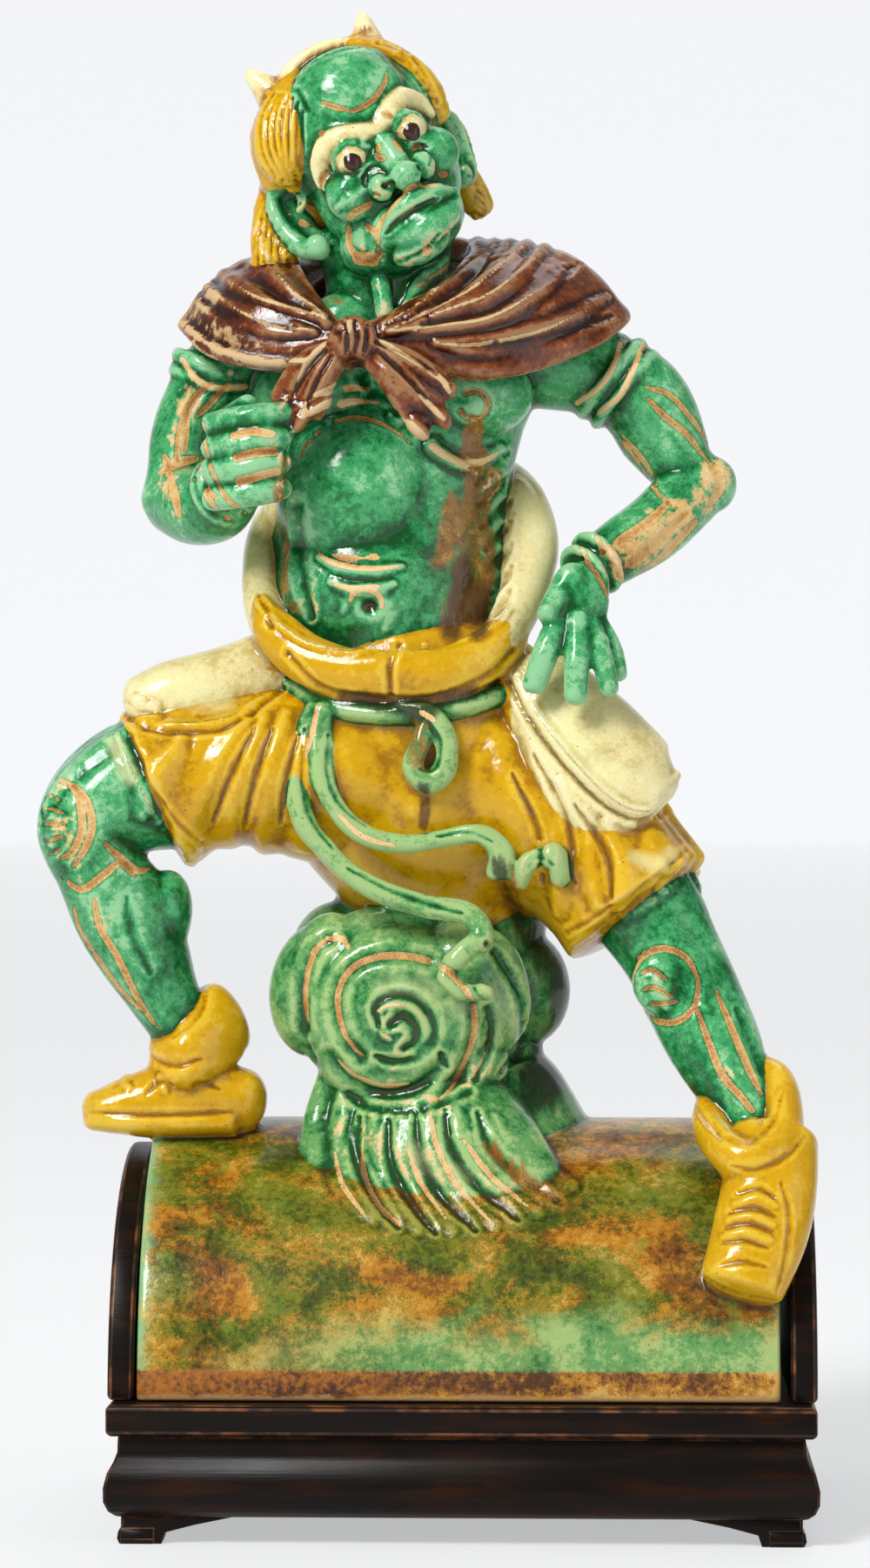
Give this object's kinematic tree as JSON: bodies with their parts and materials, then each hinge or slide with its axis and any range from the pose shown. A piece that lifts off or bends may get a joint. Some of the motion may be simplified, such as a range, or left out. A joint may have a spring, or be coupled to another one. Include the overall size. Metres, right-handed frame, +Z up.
{
  "type": "roof ridge figure",
  "caption": "Glazed stoneware ridge tile bearing a standing horned demon guardian in a knotted cape, on a dark wooden display stand.",
  "frame": {"origin": "middle of the bounding box at the level of the stand's feet", "axes": "+Z up along the figure's height, the figure faces -Y, +X to the viewer's right, along the ridge"},
  "size_m": [0.3152, 0.232, 0.6155],
  "materials": {
    "glazed_clay": "glossy green, amber, cream and aubergine lead glazes over buff clay",
    "stand_wood": "dark stained hardwood, satin"
  },
  "bodies": {
    "root": {"ridge_figure": "glazed_clay", "stand_top_board": "stand_wood", "stand_rail_front": "stand_wood", "stand_rail_back": "stand_wood", "stand_rail_left": "stand_wood", "stand_rail_right": "stand_wood", "stand_end_board_left": "stand_wood", "stand_end_board_right": "stand_wood", "stand_foot_front_left": "stand_wood", "stand_foot_front_right": "stand_wood", "stand_foot_back_left": "stand_wood", "stand_foot_back_right": "stand_wood"}
  },
  "joints": []
}
